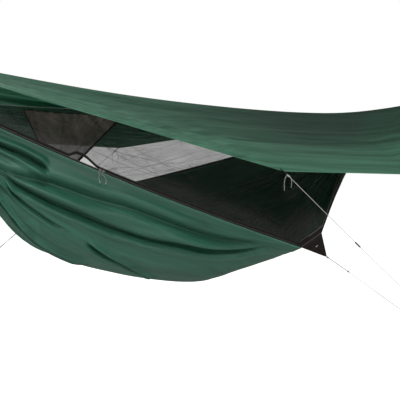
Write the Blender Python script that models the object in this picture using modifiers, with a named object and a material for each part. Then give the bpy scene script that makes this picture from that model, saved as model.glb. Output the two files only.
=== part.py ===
"""Camping hammock with a zipped insect net and a rain fly, in metres, +Z up.

+X runs along the ridge from the head end to the foot end, and the origin is the inside of
the head carabiner, where a tree strap pulls. Sizes and places are given in the ridge frame,
whose origin is the middle of the structural ridgeline, and place() moves them to the part's.
"""

import math

import bmesh
import bpy
from mathutils import Matrix, Vector

# Driving dimensions, in the ridge frame
HALF_RIDGE = 1.325  # half the structural ridgeline
RIDGE_SAG = 0.022
HEAD_ANCHOR = Vector((-1.897, 0.0, 0.349))
CLOTH = 0.0026  # thickness of the cloth solids
GAP = 0.0005

# Suspension: direction from each gathered end towards its anchor, and distances along it
HEAD_LINE = Vector((-math.cos(math.radians(33)), 0, math.sin(math.radians(33))))
FOOT_LINE = Vector((math.cos(math.radians(12)), 0, math.sin(math.radians(12))))
NECK_START = 1.36  # where the suspension line leaves the ridgeline's axis
BAR_AT = 0.56  # the carabiner's inner end, along the suspension line
ROPE_R = 0.003

# Near side of the hammock: the edge runs from the head gather to the tie-out and on to the foot
NEAR_SEAM_LOW = Vector((0.385, -0.625, -0.742))
NEAR_SEAM_HIGH = Vector((0.470, -0.690, -0.664))
NEAR_TIE = Vector((0.512, -0.672, -0.790))
NEAR_BOW = Vector((0.0, 0.012, -0.030))
FAR_SEAM_LOW = Vector((-0.430, 0.615, -0.500))
FAR_SEAM_HIGH = Vector((-0.515, 0.680, -0.440))
FAR_TIE = Vector((-0.560, 0.705, -0.560))
FAR_BOW = Vector((0.0, -0.015, -0.022))
BODY_END = 1.27  # the body cloth reaches this far from the middle
NET_END = 1.20

# Rain fly: ends of its ridge, and two corners on each side
FLY_HEAD = Vector((-1.67, 0.0, 0.250))
FLY_FOOT = Vector((1.67, 0.0, 0.092))
FLY_NEAR_MID = Vector((0.09, -0.92, -0.350))
FLY_NEAR_FOOT = Vector((1.05, -0.85, -0.365))
FLY_FAR_MID = Vector((0.0, 0.87, -0.190))
FLY_FAR_HEAD = Vector((-1.05, 0.85, -0.150))
FLY_RIDGE = (
    (-1.67, 0.250), (-1.03, 0.153), (-0.37, 0.073), (0.25, 0.027),
    (0.80, 0.010), (1.20, 0.026), (1.67, 0.092),
)

# Depth of the body cloth below the ridgeline along its length
BOTTOM = (
    (-1.325, -0.03), (-1.25, -0.22), (-1.09, -0.46), (-0.80, -0.745), (-0.40, -0.888),
    (0.0, -0.950), (0.18, -0.905), (0.38, -0.80), (0.80, -0.51), (1.09, -0.24), (1.325, -0.02),
)

# Guylines
LINE_R = 0.00125
NEAR_STAKE = Vector((0.72, -1.50, -1.19))
FAR_STAKE = Vector((-0.86, 1.30, -1.00))
EYE = 0.045  # length of the eye that ends each guyline
SHOCK_LENGTH = 0.16
SHOCK_R = 0.002

# Bindings along both edges
BINDING_R = 0.0024
BINDING_OUT = 0.0050
BINDING_END = 1.22

# Zip along the near edge
CHAIN_R = 0.0022
CHAIN_LIFT = 0.009
NET_LIFT = 0.021
ZIP_FROM, ZIP_TO = -1.12, 0.365
SLIDERS_MEET = -0.58
SLIDER = Vector((0.014, 0.011, 0.011))
SLIDER_HOLE_R = 0.0038

NYLON_GREEN = (0.06, 0.20, 0.12)


def place(point):
    """A point of the ridge frame in the part's own frame."""
    return Vector(point) - HEAD_ANCHOR


# ---------------------------------------------------------------- scene and materials

for old in list(bpy.data.objects):
    bpy.data.objects.remove(old, do_unlink=True)
PARTS = bpy.data.collections.new("camping_hammock")
CUTTERS = bpy.data.collections.new("cutters")
for group in (PARTS, CUTTERS):
    bpy.context.scene.collection.children.link(group)


def material(name, color, roughness, metallic=0.0):
    made = bpy.data.materials.new(name)
    made.use_nodes = True
    shader = made.node_tree.nodes["Principled BSDF"]
    shader.inputs["Base Color"].default_value = (*color, 1.0)
    shader.inputs["Roughness"].default_value = roughness
    shader.inputs["Metallic"].default_value = metallic
    return made


GREEN = material("green_nylon", NYLON_GREEN, 0.55)
FLY_GREEN = material("fly_nylon", (0.10, 0.20, 0.13), 0.5)
PALE_GREEN = material("edge_binding", (0.16, 0.36, 0.25), 0.6)
NET = material("black_net", (0.02, 0.02, 0.02), 0.8)
BLACK = material("black_webbing", (0.02, 0.017, 0.015), 0.75)
ZIP = material("zip_coil", (0.015, 0.015, 0.015), 0.4)
LINE = material("grey_line", (0.55, 0.56, 0.55), 0.7)
ROPE = material("black_rope", (0.03, 0.03, 0.03), 0.8)
METAL = material("grey_alloy", (0.45, 0.46, 0.47), 0.35, 1.0)
PLASTIC = material("black_plastic", (0.02, 0.02, 0.02), 0.45)


# ---------------------------------------------------------------- building helpers

def add(name, data, mat, location=None):
    obj = bpy.data.objects.new(name, data)
    data.materials.clear()
    data.materials.append(mat)
    PARTS.objects.link(obj)
    if location is not None:
        obj.location = location
    return obj


def smooth(points, per_span=8, closed=False):
    """Points on a Catmull-Rom curve through the given ones."""
    given = [Vector(p) for p in points]
    count = len(given)
    out = []
    for i in range(count if closed else count - 1):
        if closed:
            a, b, c, d = (given[(i + k) % count] for k in (-1, 0, 1, 2))
        else:
            a, b, c, d = (given[min(max(i + k, 0), count - 1)] for k in (-1, 0, 1, 2))
        square, cube = 2 * a - 5 * b + 4 * c - d, 3 * b - a - 3 * c + d
        for k in range(per_span):
            t = k / per_span
            out.append(0.5 * (2 * b + (c - a) * t + square * t * t + cube * t ** 3))
    if not closed:
        out.append(given[-1])
    return out


def profile(pairs, x):
    """The height at x of a smooth curve through (x, height) pairs."""
    curve = smooth([(px, 0, pz) for px, pz in pairs], 16)
    for a, b in zip(curve, curve[1:]):
        if a.x <= x <= b.x:
            return a.z + (b.z - a.z) * (x - a.x) / max(b.x - a.x, 1e-9)
    return curve[0].z if x < curve[0].x else curve[-1].z


def tube(name, points, radius, mat, closed=False, resolution=2):
    """A round cord through points of the part's frame."""
    data = bpy.data.curves.new(name, "CURVE")
    data.dimensions = "3D"
    data.bevel_depth = radius
    data.bevel_resolution = resolution
    data.use_fill_caps = not closed
    spline = data.splines.new("POLY")
    spline.points.add(len(points) - 1)
    for slot, point in zip(spline.points, points):
        slot.co = (*point, 1.0)
    spline.use_cyclic_u = closed
    return add(name, data, mat)


def sheet(name, rows, mat, thickness=CLOTH):
    """A cloth solid: a grid of points of the part's frame, made a closed shell with Solidify."""
    mesh = bpy.data.meshes.new(name)
    net = bmesh.new()
    grid = [[net.verts.new(p) for p in row] for row in rows]
    for a, b in zip(grid, grid[1:]):
        for i in range(len(a) - 1):
            net.faces.new((a[i], a[i + 1], b[i + 1], b[i]))
    bmesh.ops.recalc_face_normals(net, faces=net.faces)
    net.to_mesh(mesh)
    net.free()
    obj = add(name, mesh, mat)
    shell = obj.modifiers.new("cloth", "SOLIDIFY")
    shell.thickness = thickness
    shell.offset = 0.0
    return obj


def plate(name, outline, thickness, mat, frame, bevel=0.0):
    """A flat piece: a closed 2-D outline extruded, its sheet in frame's XY plane."""
    curve = bpy.data.curves.new(name, "CURVE")
    curve.dimensions = "2D"
    curve.fill_mode = "BOTH"
    curve.extrude = thickness / 2
    spline = curve.splines.new("POLY")
    spline.points.add(len(outline) - 1)
    for slot, (x, y) in zip(spline.points, outline):
        slot.co = (x, y, 0.0, 1.0)
    spline.use_cyclic_u = True
    draft = bpy.data.objects.new(name + "_draft", curve)
    PARTS.objects.link(draft)
    depsgraph = bpy.context.evaluated_depsgraph_get()
    mesh = bpy.data.meshes.new_from_object(draft.evaluated_get(depsgraph))
    bpy.data.objects.remove(draft, do_unlink=True)
    bpy.data.curves.remove(curve)
    solid = bmesh.new()
    solid.from_mesh(mesh)
    bmesh.ops.remove_doubles(solid, verts=solid.verts, dist=1e-5)
    bmesh.ops.recalc_face_normals(solid, faces=solid.faces)
    solid.to_mesh(mesh)
    solid.free()
    obj = add(name, mesh, mat)
    obj.matrix_world = frame
    if bevel:
        edge = obj.modifiers.new("rounded", "BEVEL")
        edge.width = bevel
        edge.segments = 2
        edge.limit_method = "ANGLE"
    return obj


def frame_of(origin, along, up):
    """A matrix with +X along, +Z as near up as it can be, and the given origin."""
    x = Vector(along).normalized()
    z = (Vector(up) - x * x.dot(Vector(up))).normalized()
    y = z.cross(x)
    return Matrix.Translation(origin) @ Matrix((x, y, z)).transposed().to_4x4()


def box(name, size, mat, frame, bevel=0.0):
    mesh = bpy.data.meshes.new(name)
    solid = bmesh.new()
    bmesh.ops.create_cube(solid, size=1.0)
    bmesh.ops.scale(solid, vec=size, verts=solid.verts)
    solid.to_mesh(mesh)
    solid.free()
    obj = add(name, mesh, mat)
    obj.matrix_world = frame
    if bevel:
        edge = obj.modifiers.new("rounded", "BEVEL")
        edge.width = bevel
        edge.segments = 2
    return obj


def rod_cutter(name, radius, length, frame):
    """A round cutter whose axis is frame's +X."""
    mesh = bpy.data.meshes.new(name)
    solid = bmesh.new()
    bmesh.ops.create_cone(
        solid, cap_ends=True, segments=16, radius1=radius, radius2=radius, depth=length,
        matrix=Matrix.Rotation(math.pi / 2, 4, "Y"),
    )
    solid.to_mesh(mesh)
    solid.free()
    obj = bpy.data.objects.new(name, mesh)
    obj.matrix_world = frame
    obj.hide_render = True
    obj.display_type = "WIRE"
    CUTTERS.objects.link(obj)
    return obj


def cut(obj, cutter):
    hole = obj.modifiers.new("hole", "BOOLEAN")
    hole.operation = "DIFFERENCE"
    hole.object = cutter


def turned(name, sections, mat, frame, segments=24):
    """A solid of revolution about frame's +X through (along, radius) sections."""
    mesh = bpy.data.meshes.new(name)
    solid = bmesh.new()
    rings = []
    for along, radius in sections:
        ring = []
        for k in range(segments):
            angle = 2 * math.pi * k / segments
            ring.append(solid.verts.new((along, radius * math.cos(angle), radius * math.sin(angle))))
        rings.append(ring)
    for a, b in zip(rings, rings[1:]):
        for k in range(segments):
            solid.faces.new((a[k], a[(k + 1) % segments], b[(k + 1) % segments], b[k]))
    solid.faces.new(rings[0])
    solid.faces.new(rings[-1])
    bmesh.ops.recalc_face_normals(solid, faces=solid.faces)
    solid.to_mesh(mesh)
    solid.free()
    obj = add(name, mesh, mat)
    obj.matrix_world = frame
    return obj


# ---------------------------------------------------------------- shapes of the hammock

def ridge_point(x):
    """The structural ridgeline."""
    return Vector((x, 0.0, -RIDGE_SAG * (1 - (x / HALF_RIDGE) ** 2)))


def bowed(start, end, bow, x):
    """The point at x of an edge between two points, bowed in the middle."""
    a = (x - start.x) / (end.x - start.x)
    return start.lerp(end, a) + bow * (4 * a * (1 - a))


def near_edge(x):
    head, foot = Vector((-HALF_RIDGE, 0, 0)), Vector((HALF_RIDGE, 0, 0))
    if x <= NEAR_SEAM_LOW.x:
        return bowed(head, NEAR_SEAM_LOW, NEAR_BOW, x)
    if x <= NEAR_SEAM_HIGH.x:
        return bowed(NEAR_SEAM_LOW, NEAR_SEAM_HIGH, Vector((0, 0, 0)), x)
    return bowed(NEAR_SEAM_HIGH, foot, Vector((0, 0.02, 0.004)), x)


def far_edge(x):
    head, foot = Vector((-HALF_RIDGE, 0, 0)), Vector((HALF_RIDGE, 0, 0))
    if x >= FAR_SEAM_LOW.x:
        return bowed(foot, FAR_SEAM_LOW, FAR_BOW, x)
    if x >= FAR_SEAM_HIGH.x:
        return bowed(FAR_SEAM_LOW, FAR_SEAM_HIGH, Vector((0, 0, 0)), x)
    return bowed(FAR_SEAM_HIGH, head, Vector((0, -0.02, 0.004)), x)


def pulled(x, tie_x):
    """How much less the cloth bellies outwards near a tie-out, which pulls it flat."""
    return 0.42 * math.exp(-(((x - tie_x) / 0.38) ** 2))


def body_point(x, v):
    """The body cloth at x, from the near edge (v = 0) under the sleeper to the far edge (v = 1)."""
    near, far = near_edge(x), far_edge(x)
    low = profile(BOTTOM, x)
    deep = (low - (near.z + far.z) / 8) * 4 / 3
    spread = 0.05 * min(1.0, (HALF_RIDGE - abs(x)) / 0.6)
    side_near = Vector((x, near.y - spread + pulled(x, NEAR_SEAM_HIGH.x), deep))
    side_far = Vector((x, far.y + spread - pulled(x, FAR_SEAM_HIGH.x), deep))
    w = 1 - v
    return w ** 3 * near + 3 * w * w * v * side_near + 3 * w * v * v * side_far + v ** 3 * far


def steps(start, end, count):
    return [start + (end - start) * k / count for k in range(count + 1)]


def stations(end):
    """Places along the length up to end on both sides, one at each corner of the cloth."""
    marks = [-end, FAR_SEAM_HIGH.x, FAR_SEAM_LOW.x, NEAR_SEAM_LOW.x, NEAR_SEAM_HIGH.x, end]
    counts = (10, 1, 9, 1, 10)
    out = [marks[0]]
    for a, b, n in zip(marks, marks[1:], counts):
        out += steps(a, b, n)[1:]
    return out


def make_body():
    rows = [[place(body_point(x, v)) for v in steps(0.0, 1.0, 12)] for x in stations(BODY_END)]
    sheet("hammock_body", rows, GREEN)


def net_rows(edge, side):
    """A net panel from above an edge up to beside the ridgeline."""
    rows = []
    for x in stations(NET_END):
        lift = NET_LIFT * min(1.0, (HALF_RIDGE + 0.08 - abs(x)) / 0.25)
        low = edge(x) + Vector((0, 0, lift))
        top = ridge_point(x) + Vector((0, side * 0.014, -0.006))
        if (low.y - top.y) * side < 0.004:
            low.y = top.y + side * 0.004
        if low.z > top.z - 0.012:
            low.z = top.z - 0.012
        sag = Vector((0, 0, 0.04 * (top.z - low.z)))
        rows.append([place(low.lerp(top, k / 3) - sag * (k * (3 - k) * 4 / 9)) for k in range(4)])
    return rows


def make_nets():
    sheet("near_netting", net_rows(near_edge, -1), NET, 0.0016)
    sheet("far_netting", net_rows(far_edge, 1), NET, 0.0016)


def make_ridgeline():
    half = HALF_RIDGE - 0.065
    tube("structural_ridgeline", [place(ridge_point(x)) for x in steps(-half, half, 24)], 0.0015, LINE)


# (along, radius) of the bunched and whipped cloth at each end
GATHER_SECTIONS = (
    (0.0, 0.024), (0.03, 0.017), (0.055, 0.0135), (0.115, 0.0130), (0.125, 0.0155), (0.145, 0.0165),
)
# The rope's route in the carabiner's frame round its bar, and in the gather's round the neck
ROUND_BAR = (
    (-0.10, 0.0115, 0), (-0.02, 0.0108, 0), (0.0, 0.0106, 0), (0.0078, 0.0078, 0), (0.0106, 0, 0),
)
ROUND_NECK = (
    (0.150, 0.0245, -0.003), (0.105, 0.0195, -0.004), (0.090, 0.0150, 0.0105), (0.086, 0.0, 0.0185),
)


def make_gather(name, line, side):
    """The whipped end: the cloth bunched to a neck, bound with cord, with a flared tail."""
    start = Vector((side * (BODY_END + 0.006), 0, 0))
    neck = Vector((side * NECK_START, 0, 0)) + Vector((0, 0, line.z * 0.02))
    frame = frame_of(place(start), neck - start, (0, 0, 1))
    turned(name, GATHER_SECTIONS, BLACK, frame, 16)
    return frame


def make_suspension(name, line, side, gather):
    """A rope loop from round the neck of the gather to round the carabiner's inner bar."""
    bar = place(Vector((side * NECK_START, 0, 0)) + line * BAR_AT)
    at = frame_of(bar, line, (0, 0, 1))
    near_bar = [at @ Vector(p) for p in ROUND_BAR]
    neck = [gather @ Vector(p) for p in ROUND_NECK]
    mirror = Matrix.Diagonal((1, -1, 1, 1))
    loop = near_bar[::-1] + neck
    loop += [mirror @ p for p in neck[:-1]][::-1] + [mirror @ p for p in near_bar[:-1]]
    tube(name, smooth(loop, 4, closed=True), ROPE_R, ROPE, closed=True)


def carabiner_outline(length, width, stock, gap_low, gap_high):
    """A D-shaped ring of flat stock, open along its straight gate side between two heights."""
    r = width / 2 - stock / 2
    top, low = length / 2 - stock / 2 - r, -(length / 2 - stock / 2 - r)
    path = [(r, gap_low)]
    path += [(r * math.cos(a), low + r * math.sin(a)) for a in steps(0, -math.pi, 10)]
    path += [(r * math.cos(a), top + r * math.sin(a)) for a in steps(math.pi, 0, 10)]
    path += [(r, gap_high)]
    normals = []
    for i in range(len(path)):
        a, b = path[max(i - 1, 0)], path[min(i + 1, len(path) - 1)]
        dx, dy = b[0] - a[0], b[1] - a[1]
        size = math.hypot(dx, dy)
        normals.append((-dy / size, dx / size))
    outer = [(p[0] + n[0] * stock / 2, p[1] + n[1] * stock / 2) for p, n in zip(path, normals)]
    inner = [(p[0] - n[0] * stock / 2, p[1] - n[1] * stock / 2) for p, n in zip(path, normals)]
    return outer + inner[::-1]


CARABINER_LENGTH, CARABINER_WIDTH, CARABINER_STOCK = 0.100, 0.056, 0.010
GATE_LOW, GATE_HIGH = -0.018, 0.020


def carabiner_frame(line, side):
    """Local +Y runs along the suspension line, and the flat faces look along the part's Y."""
    bar = place(Vector((side * NECK_START, 0, 0)) + line * BAR_AT)
    centre = bar + line * (CARABINER_LENGTH / 2 - CARABINER_STOCK / 2)
    across = Vector((0, side, 0)).cross(line)
    return Matrix.Translation(centre) @ Matrix((across, line, across.cross(line))).transposed().to_4x4()


def make_carabiner(end, line, side):
    frame = carabiner_frame(line, side)
    outline = carabiner_outline(CARABINER_LENGTH, CARABINER_WIDTH, CARABINER_STOCK, GATE_LOW, GATE_HIGH)
    plate(end + "_carabiner", outline, 0.010, METAL, frame, bevel=0.0015)
    gate_x = CARABINER_WIDTH / 2 - CARABINER_STOCK / 2
    length = GATE_HIGH - GATE_LOW - 2 * GAP
    hinge = Matrix.Translation((gate_x, GATE_LOW + GAP + 0.004, 0))
    half = 0.0042
    tip = length - 0.004
    arc = [(half * math.cos(a), half * math.sin(a)) for a in steps(math.pi, 2 * math.pi, 10)]
    outline = arc + [(half, tip - 0.002), (half * 0.3, tip), (-half, tip)]
    plate(end + "_gate", outline, 0.008, METAL, frame @ hinge, bevel=0.001)


RING_R, RING_STOCK_R, RING_DROP = 0.0095, 0.0013, 0.004


def make_pocket():
    """The mesh gear pocket under the ridgeline: two panels with an open top, between two rings."""
    rings = (("pocket_ring_head", -0.880), ("pocket_ring_foot", -0.372))
    hang = RING_R + RING_STOCK_R + RING_DROP + 2 * GAP
    rail = [ridge_point(x).z - hang for _, x in rings]
    outer = ((-0.905, rail[0]), (-0.340, rail[1]), (-0.655, -0.335), (-0.775, -0.290))
    inner = ((-0.890, rail[0] + 0.01), (-0.365, rail[1] + 0.01), (-0.658, -0.325), (-0.768, -0.284))
    upright = Matrix.Translation(place((0, 0, 0))) @ Matrix.Rotation(math.pi / 2, 4, "X")
    pocket = plate("gear_pocket", outer, 0.022, NET, upright)
    hollow = plate("pocket_hollow", inner, 0.018, NET, upright)
    PARTS.objects.unlink(hollow)
    CUTTERS.objects.link(hollow)
    hollow.hide_render = True
    hollow.display_type = "WIRE"
    cut(pocket, hollow)
    for name, x in rings:
        mid = place(ridge_point(x) - Vector((0, 0, RING_DROP)))
        ring = [mid + RING_R * Vector((0, math.cos(a), math.sin(a))) for a in steps(0, 2 * math.pi, 16)[:-1]]
        tube(name, ring, RING_STOCK_R, PLASTIC, closed=True)


# ---------------------------------------------------------------- zip and edge bindings

def edge_run(edge, start, end, count, shift):
    return [place(edge(x) + shift) for x in steps(start, end, count)]


def make_edges():
    low, seam = -0.004, 0.01
    near = edge_run(near_edge, -BINDING_END, NEAR_SEAM_LOW.x - seam, 26, Vector((0, -BINDING_OUT, low)))
    tube("near_edge_binding", near, BINDING_R, PALE_GREEN)
    far = edge_run(far_edge, FAR_SEAM_LOW.x + seam, BINDING_END, 26, Vector((0, BINDING_OUT, low)))
    tube("far_edge_binding", far, BINDING_R, PALE_GREEN)
    tube("zip_chain", edge_run(near_edge, ZIP_FROM, ZIP_TO, 30, Vector((0, 0, CHAIN_LIFT))), CHAIN_R, ZIP)


def slider_frame(side):
    """On the chain, 9 mm to one side of the meeting point: +X along the chain, +Y inwards."""
    here = near_edge(SLIDERS_MEET) + Vector((0, 0, CHAIN_LIFT))
    along = (near_edge(SLIDERS_MEET + 0.01) - near_edge(SLIDERS_MEET - 0.01)).normalized()
    return frame_of(place(here + along * side * 0.009), along, (0, 0, 1))


def make_sliders():
    for end, side in (("head", -1), ("foot", 1)):
        frame = slider_frame(side)
        body = box("zip_slider_" + end, SLIDER, METAL, frame, bevel=0.0012)
        cut(body, rod_cutter("slider_hole_" + end, SLIDER_HOLE_R, 0.03, frame))
        right = ((0.0012, 0.001), (0.0024, -0.004), (0.0026, -0.022), (0.0018, -0.026))
        outline = [(-x, y) for x, y in right] + list(right)[::-1]
        hinge = Matrix.Translation((0, -SLIDER.y / 2 - 0.0032, 0.0015))
        hang = frame @ hinge @ Matrix.Rotation(math.pi / 2, 4, "X")
        plate("zip_pull_" + end, outline, 0.0016, METAL, hang)


# ---------------------------------------------------------------- tie-outs and guylines

def make_patch(name, low, high, tie):
    """The doubled triangle of webbing that a tie-out pulls on."""
    middle = (low + high + tie) / 3
    corners = [middle + (p - middle) * 0.93 for p in (low, high, tie)]
    shift = (tie - (low + high) / 2).normalized() * 0.006
    tip = tie + shift * 0.2
    blunt = (high - low).normalized() * 0.012
    rows = [[place(corners[0] + shift), place(corners[1] + shift)], [place(tip), place(tip + blunt)]]
    sheet(name, rows, BLACK, 0.003)


def line_points(start, end, sag, count):
    """A taut line with the small sag of its own weight."""
    out = []
    for a in steps(0.0, 1.0, count):
        out.append(start.lerp(end, a) - Vector((0, 0, sag * 4 * a * (1 - a))))
    return out


def make_guyline(name, start, stake, sag, turn):
    """A taut line that ends in an eye, closed by a knot that is a piece of its own."""
    run = (stake - start).normalized()
    side = run.cross(Vector((0, 0, 1))).normalized() * turn
    knot = stake - run * EYE
    eye = [
        knot + run * 0.012 + side * 0.004, knot + run * 0.030 + side * 0.011,
        stake + side * 0.006, stake - side * 0.006,
        knot + run * 0.030 - side * 0.011, knot + run * 0.014 - side * 0.0045,
    ]
    route = line_points(start, knot, sag, 6)
    tube(name, [place(p) for p in route[:-1] + smooth([knot] + eye, 2)], LINE_R, LINE)
    return knot - run * 0.010, run


def make_knot(name, knot, run, mat=LINE):
    """A barrel knot round the line: a short turned sleeve, bored for the line."""
    frame = frame_of(place(knot), run, (0, 0, 1))
    sections = ((-0.008, 0.0032), (-0.005, 0.0040), (0.005, 0.0040), (0.008, 0.0032))
    made = turned(name, sections, mat, frame, 12)
    cut(made, rod_cutter(name + "_hole", LINE_R + 0.0008, 0.05, frame))


def make_tensioner(name, start, stake, share, sag):
    """A flat line tensioner threaded on a guyline."""
    at = start.lerp(stake, share) - Vector((0, 0, sag * 4 * share * (1 - share)))
    frame = frame_of(place(at), stake - start, (0, 0, 1))
    block = box(name, Vector((0.034, 0.012, 0.0062)), PLASTIC, frame, bevel=0.001)
    cut(block, rod_cutter(name + "_hole", LINE_R + 0.0009, 0.06, frame))


def make_side(side, tie, stake, corner, patch_low, patch_high):
    make_patch(side + "_tie_out_patch", patch_low, patch_high, tie)
    run = (stake - tie).normalized()
    shock_start = tie + run * 0.008
    shock_end = tie + run * SHOCK_LENGTH
    shock = [place(p) for p in line_points(shock_start, shock_end, 0.0, 4)]
    tube(side + "_shock_cord", shock, SHOCK_R, LINE)
    low_stake = stake - Vector((0, 0, 0.012))
    knot, direction = make_guyline(side + "_side_guyline", shock_end + run * 0.001, low_stake, 0.004, 1)
    make_knot(side + "_side_guyline_knot", knot, direction)
    high_stake = stake + Vector((0, 0, 0.012))
    out = (high_stake - corner).normalized()
    knot, direction = make_guyline(side + "_fly_guyline", corner + out * 0.0225, high_stake, 0.006, 1)
    make_knot(side + "_fly_guyline_knot", knot, direction)
    make_tensioner(side + "_line_tensioner", corner + out * 0.0225, knot, 0.42, 0.006)


# ---------------------------------------------------------------- rain fly

def fly_edge(x, side):
    """The fly's lower edge at x."""
    if side < 0:
        marks = (FLY_HEAD, FLY_NEAR_MID, FLY_NEAR_FOOT, FLY_FOOT)
    else:
        marks = (FLY_HEAD, FLY_FAR_HEAD, FLY_FAR_MID, FLY_FOOT)
    for a, b in zip(marks, marks[1:]):
        if x <= b.x:
            inward = 0.018 * (b.x - a.x)
            return bowed(a, b, Vector((0, -side * inward, 0)), x)
    return marks[-1]


def fly_ridge(x):
    return Vector((x, 0, profile(FLY_RIDGE, x)))


def fly_point(x, k):
    """Across the fly from the near edge (k = -1) over the ridge (k = 0) to the far edge (k = 1)."""
    side = -1 if k < 0 else 1
    a = abs(k)
    top, edge = fly_ridge(x), fly_edge(x, side)
    sag = 0.035 * 4 * a * (1 - a) * min(1.0, abs(edge.y) / 0.9)
    return top.lerp(edge, a) - Vector((0, 0, sag))


def make_fly():
    hem = 0.012
    corners = [p.x for p in (FLY_FAR_HEAD, FLY_FAR_MID, FLY_NEAR_MID, FLY_NEAR_FOOT)]
    marks = [FLY_HEAD.x + hem, *corners, FLY_FOOT.x - hem]
    places = [marks[0]]
    for a, b, n in zip(marks, marks[1:], (5, 7, 1, 6, 5)):
        places += steps(a, b, n)[1:]
    rows = [[place(fly_point(x, k)) for k in steps(-1.0, 1.0, 10)] for x in places]
    sheet("rain_fly", rows, FLY_GREEN)


def make_fly_tab(name, corner, toward):
    """A webbing tab with a loop, just outside a corner of the fly."""
    out = (toward - corner).normalized()
    frame = frame_of(place(corner + out * 0.0125), out, (0, 0, 1))
    outline = [(-0.008, -0.009), (0.002, -0.009)]
    outline += [(0.002 + 0.006 * math.sin(a), -0.009 * math.cos(a)) for a in steps(0.3, math.pi - 0.3, 6)]
    outline += [(0.002, 0.009), (-0.008, 0.009)]
    plate(name, outline, 0.003, BLACK, frame)


def make_fly_end(end, corner, line, side):
    """At a ridge end: a webbing tab, an alloy ring and the short tie to the carabiner."""
    bar = Vector((side * NECK_START, 0, 0)) + line * BAR_AT
    target = bar - line * 0.012 + Vector((0, 0, 0.016))
    out = (target - corner).normalized()
    make_fly_tab("fly_tab_" + end, corner, target)
    start = corner + out * 0.040
    ring = frame_of(place(start - out * 0.007), out, (0, 0, 1))
    angles = steps(0, 2 * math.pi, 16)[:-1]
    circle = [ring @ Vector((0.002 + 0.0075 * math.cos(a), 0, 0.0075 * math.sin(a))) for a in angles]
    tube("fly_ring_" + end, circle, 0.0016, METAL, closed=True)
    route = line_points(start + out * 0.0075, target, 0.0015, 6)
    tube("fly_tie_" + end, [place(p) for p in route], 0.0015, LINE)


# ---------------------------------------------------------------- what rocks

def hang_on(name, origin, along, pieces):
    """Parents the pieces to an empty that turns about its own X axis."""
    axis = frame_of(origin, along, (0, 0, 1))
    empty = bpy.data.objects.new(name, None)
    empty.matrix_world = axis
    PARTS.objects.link(empty)
    for piece in pieces:
        obj = bpy.data.objects[piece]
        obj.parent = empty
        obj.matrix_parent_inverse = axis.inverted()


def hang_hammock():
    """The cloth, nets and end loops rock about the line through the two carabiners' lower bars."""
    bars = [
        place(Vector((side * NECK_START, 0, 0)) + line * BAR_AT) for line, side in ((HEAD_LINE, -1), (FOOT_LINE, 1))
    ]
    pieces = [
        "hammock_body", "near_netting", "far_netting", "structural_ridgeline", "zip_chain", "gear_pocket",
        "pocket_ring_head", "pocket_ring_foot", "zip_slider_head", "zip_slider_foot", "zip_pull_head",
        "zip_pull_foot",
    ]
    pieces += [end + piece for end in ("head", "foot") for piece in ("_gather", "_suspension_loop")]
    pieces += [side + piece for side in ("near", "far") for piece in ("_edge_binding", "_tie_out_patch", "_shock_cord")]
    hang_on("rock_axis", bars[0], bars[1] - bars[0], pieces)


# ---------------------------------------------------------------- the whole object

make_body()
make_nets()
make_ridgeline()
for end, line, side in (("head", HEAD_LINE, -1), ("foot", FOOT_LINE, 1)):
    gather = make_gather(end + "_gather", line, side)
    make_suspension(end + "_suspension_loop", line, side, gather)
    make_carabiner(end, line, side)
make_pocket()
make_edges()
make_sliders()
make_side("near", NEAR_TIE, NEAR_STAKE, FLY_NEAR_MID, NEAR_SEAM_LOW, NEAR_SEAM_HIGH)
make_side("far", FAR_TIE, FAR_STAKE, FLY_FAR_MID, FAR_SEAM_LOW, FAR_SEAM_HIGH)
make_fly()
make_fly_tab("fly_tab_near_mid", FLY_NEAR_MID, NEAR_STAKE)
make_fly_tab("fly_tab_far_mid", FLY_FAR_MID, FAR_STAKE)
make_fly_tab("fly_tab_near_foot", FLY_NEAR_FOOT, FLY_NEAR_FOOT + Vector((0.2, -0.6, -0.5)))
make_fly_tab("fly_tab_far_head", FLY_FAR_HEAD, FLY_FAR_HEAD + Vector((-0.2, 0.6, -0.5)))
make_fly_end("head", FLY_HEAD, HEAD_LINE, -1)
make_fly_end("foot", FLY_FOOT, FOOT_LINE, 1)
hang_hammock()
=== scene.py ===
"""Looks of the camping hammock: cloth, net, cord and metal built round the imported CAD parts.

Points are given in the ridge frame, whose origin is the middle of the structural ridgeline:
+X from the head end to the foot end, +Y away from the zip side, +Z up. at() moves them to
the part's own frame, whose origin is the inside of the head carabiner.
"""

import math

import bpy
import numpy as np
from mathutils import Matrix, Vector


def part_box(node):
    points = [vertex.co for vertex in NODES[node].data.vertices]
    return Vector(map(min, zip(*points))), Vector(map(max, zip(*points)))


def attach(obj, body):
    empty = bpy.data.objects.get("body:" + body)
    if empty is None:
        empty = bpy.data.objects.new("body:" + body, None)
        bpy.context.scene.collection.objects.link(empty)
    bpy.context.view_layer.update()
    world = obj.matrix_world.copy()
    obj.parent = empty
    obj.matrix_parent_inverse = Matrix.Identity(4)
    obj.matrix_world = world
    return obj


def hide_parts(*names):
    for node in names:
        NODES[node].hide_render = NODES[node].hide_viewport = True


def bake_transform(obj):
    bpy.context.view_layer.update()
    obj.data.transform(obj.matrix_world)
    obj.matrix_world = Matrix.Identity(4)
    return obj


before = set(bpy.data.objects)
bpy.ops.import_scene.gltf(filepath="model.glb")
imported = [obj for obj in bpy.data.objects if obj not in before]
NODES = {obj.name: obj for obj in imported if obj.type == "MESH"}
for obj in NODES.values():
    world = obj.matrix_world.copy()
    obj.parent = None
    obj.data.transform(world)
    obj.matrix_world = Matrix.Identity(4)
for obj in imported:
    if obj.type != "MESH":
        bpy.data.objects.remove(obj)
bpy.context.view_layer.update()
SCENE = bpy.context.scene


def vec(*xyz):
    return np.array(xyz)


# ---- dimensions shared with the CAD

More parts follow.
